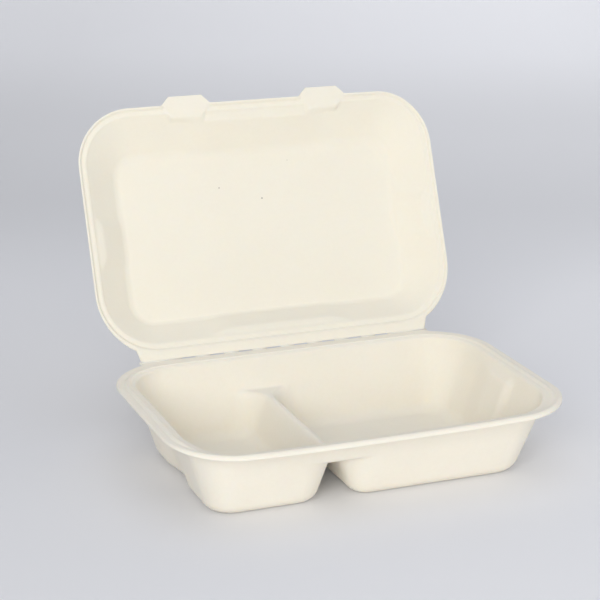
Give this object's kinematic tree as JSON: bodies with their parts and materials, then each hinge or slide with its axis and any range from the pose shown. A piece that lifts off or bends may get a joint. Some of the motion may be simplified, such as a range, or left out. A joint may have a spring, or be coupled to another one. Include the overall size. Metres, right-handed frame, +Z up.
{
  "type": "bagasse meal box",
  "caption": "Open moulded-pulp takeaway meal box with a divided tray, rounded corners and a shallow tabbed lid hinged along its back edge.",
  "frame": {"origin": "centre of the tray's rim outline, on the plane of the feet it stands on", "axes": "+X along the crease to the right end, +Y from the front edge to the crease, +Z up"},
  "size_m": [0.25, 0.2302, 0.2021],
  "materials": {
    "pulp_base": "matte moulded pulp",
    "pulp_lid": "matte moulded pulp"
  },
  "bodies": {
    "base": {"base": "pulp_base"},
    "lid": {"lid": "pulp_lid"}
  },
  "joints": [
    {"name": "lid_hinge", "type": "hinge", "parent": "base", "child": "lid", "pos_m": [0, 0.08175, 0.04745], "axis": [1, 0, 0], "range_deg": [-67.5, 112.5]}
  ]
}
